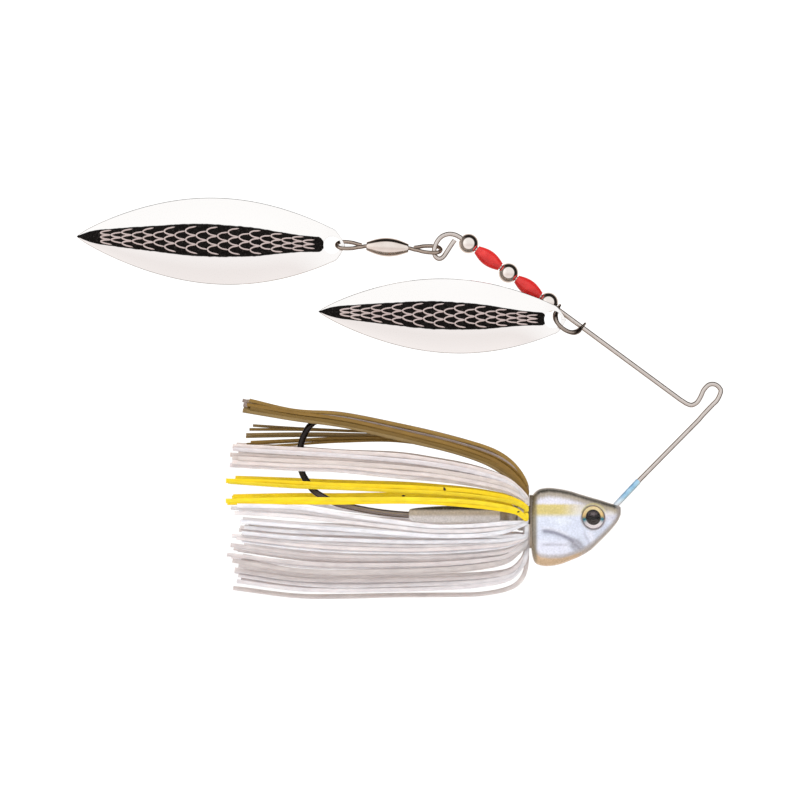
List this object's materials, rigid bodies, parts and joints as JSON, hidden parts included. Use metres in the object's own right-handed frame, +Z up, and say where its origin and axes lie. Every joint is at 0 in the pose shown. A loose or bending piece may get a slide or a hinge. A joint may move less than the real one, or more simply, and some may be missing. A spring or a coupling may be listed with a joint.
{
  "type": "spinnerbait",
  "caption": "Twin willow-blade fishing spinnerbait: bent wire, painted head, hook, strand skirt, beads, clevis blade and swivel blade that spin.",
  "frame": {"origin": "line tie: the space inside the bend of the wire where the line is tied", "axes": "+X forwards, towards the line; +Z up as the lure runs; +Y to the lure's left; the arm, leg, shank and hook lie in the XZ plane"},
  "size_m": [0.139, 0.022, 0.0862],
  "materials": {
    "wire_steel": "satin",
    "sleeve_blue": "satin",
    "head_paint": "gloss",
    "hook_dark": "gloss",
    "iris_gold": "gloss",
    "lens_clear": "gloss",
    "band_rubber": "matte",
    "bead_steel": "polished",
    "bead_red": "gloss",
    "clevis_steel": "gloss",
    "blade_nickel": "polished",
    "swivel_metal": "gloss",
    "silicone_olive": "satin",
    "silicone_pearl": "satin",
    "silicone_yellow": "satin",
    "silicone_white": "satin"
  },
  "bodies": {
    "lure_frame": {"wire_form": "wire_steel", "nose_sleeve": "sleeve_blue", "head_casting": "head_paint", "hook": "hook_dark", "eye_iris_left": "iris_gold", "eye_iris_right": "iris_gold", "eye_lens_left": "lens_clear", "eye_lens_right": "lens_clear", "skirt_band": "band_rubber", "skirt_crest_near": "silicone_olive", "skirt_crest_far": "silicone_olive", "skirt_olive_near": "silicone_olive", "skirt_olive_far": "silicone_olive", "skirt_pearl_near": "silicone_pearl", "skirt_pearl_far": "silicone_pearl", "skirt_yellow_upper_near": "silicone_yellow", "skirt_yellow_upper_far": "silicone_yellow", "skirt_yellow_lower_near": "silicone_yellow", "skirt_yellow_lower_far": "silicone_yellow", "skirt_side_near": "silicone_white", "skirt_side_far": "silicone_white", "skirt_flank_near": "silicone_white", "skirt_flank_far": "silicone_white", "skirt_lower_near": "silicone_white", "skirt_lower_far": "silicone_white", "skirt_belly_near": "silicone_white", "skirt_belly_far": "silicone_white", "skirt_keel": "silicone_white"},
    "arm_bead": {"bead_metal_3": "bead_steel"},
    "bead_top": {"bead_metal_1": "bead_steel"},
    "red_top": {"bead_red_1": "bead_red"},
    "bead_mid": {"bead_metal_2": "bead_steel"},
    "red_low": {"bead_red_2": "bead_red"},
    "stirrup": {"clevis": "clevis_steel"},
    "blade_front": {"front_blade": "blade_nickel"},
    "swivel_front": {"swivel_eye_front": "swivel_metal"},
    "swivel_body": {"swivel_barrel": "swivel_metal"},
    "swivel_rear": {"swivel_eye_rear": "swivel_metal"},
    "blade_rear": {"rear_blade": "blade_nickel"}
  },
  "joints": [
    {"name": "arm_slide", "type": "slide", "parent": "lure_frame", "child": "arm_bead", "axis": [0.8049, 0, -0.5934], "range_m": [0, 0.025]},
    {"name": "clevis_spin", "type": "hinge", "parent": "arm_bead", "child": "stirrup", "pos_m": [-0.03069, 0, 0.0152], "axis": [-0.8049, 0, 0.5934], "continuous": true},
    {"name": "front_blade_swing", "type": "hinge", "parent": "stirrup", "child": "blade_front", "pos_m": [-0.03362, -0.0025, 0.01486], "axis": [0, 1, 0], "range_deg": [-8, 10]},
    {"name": "swivel_swing", "type": "hinge", "parent": "lure_frame", "child": "swivel_front", "pos_m": [-0.05985, 0, 0.0299], "axis": [0, 1, 0], "range_deg": [-15, 20]},
    {"name": "swivel_barrel_spin", "type": "hinge", "parent": "swivel_front", "child": "swivel_body", "pos_m": [-0.0699, 0, 0.03046], "axis": [-0.9988, 0, 0.0486], "continuous": true},
    {"name": "rear_eye_spin", "type": "hinge", "parent": "swivel_body", "child": "swivel_rear", "pos_m": [-0.0699, 0, 0.03046], "axis": [-0.9988, 0, 0.0486], "continuous": true},
    {"name": "rear_blade_swing", "type": "hinge", "parent": "swivel_rear", "child": "blade_rear", "pos_m": [-0.0808, 0, 0.03099], "axis": [0, 1, 0], "range_deg": [-20, 40]},
    {"name": "trim_bead_1_spin", "type": "hinge", "parent": "arm_bead", "child": "bead_top", "pos_m": [-0.05245, 0, 0.03124], "axis": [-0.8049, 0, 0.5934], "continuous": true},
    {"name": "trim_bead_2_spin", "type": "hinge", "parent": "arm_bead", "child": "bead_mid", "pos_m": [-0.04389, 0, 0.02492], "axis": [-0.8049, 0, 0.5934], "continuous": true},
    {"name": "trim_red_1_spin", "type": "hinge", "parent": "arm_bead", "child": "red_top", "pos_m": [-0.04817, 0, 0.02808], "axis": [-0.8049, 0, 0.5934], "continuous": true},
    {"name": "trim_red_2_spin", "type": "hinge", "parent": "arm_bead", "child": "red_low", "pos_m": [-0.0396, 0, 0.02176], "axis": [-0.8049, 0, 0.5934], "continuous": true}
  ]
}
